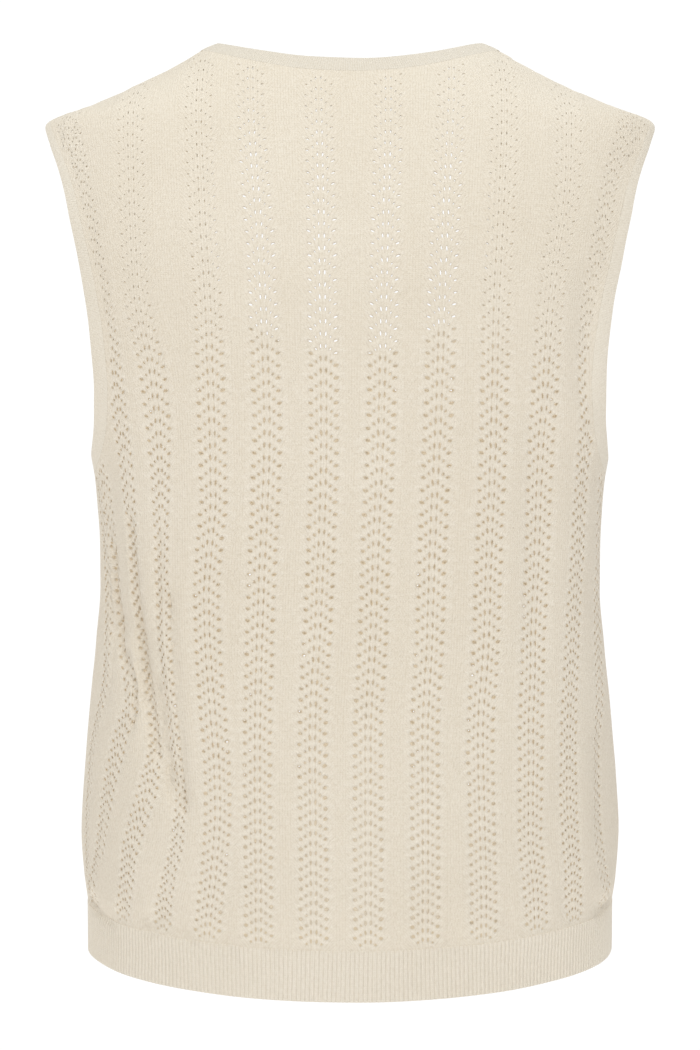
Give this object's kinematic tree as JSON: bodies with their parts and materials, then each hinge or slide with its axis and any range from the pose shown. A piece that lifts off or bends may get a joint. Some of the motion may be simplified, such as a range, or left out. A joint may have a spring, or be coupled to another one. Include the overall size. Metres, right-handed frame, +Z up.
{
  "type": "sleeveless cardigan",
  "caption": "Sleeveless lace-knit cardigan with a button front, round neck, narrow bands and a ribbed hem, filled out as worn.",
  "frame": {"origin": "midway between the points where the shoulder seams meet the neck, at their height, where the wearer's shoulders hold the garment", "axes": "+Z up along the garment's length, -Y the buttoned front, +X the wearer's left"},
  "size_m": [0.3932, 0.2382, 0.5996],
  "materials": {
    "lace_knit": "soft matt knit",
    "rib_knit": "soft matt rib knit",
    "button": "satin"
  },
  "bodies": {
    "root": {"back_panel": "lace_knit", "front_left_panel": "lace_knit", "front_right_panel": "lace_knit", "hem_rib_back": "rib_knit", "hem_rib_front_left": "rib_knit", "hem_rib_front_right": "rib_knit", "armhole_band_left": "rib_knit", "armhole_band_right": "rib_knit", "neck_band": "rib_knit", "front_band_left": "rib_knit", "front_band_right": "rib_knit", "button_1": "button", "button_2": "button", "button_3": "button", "button_4": "button", "button_5": "button", "button_6": "button"}
  },
  "joints": []
}
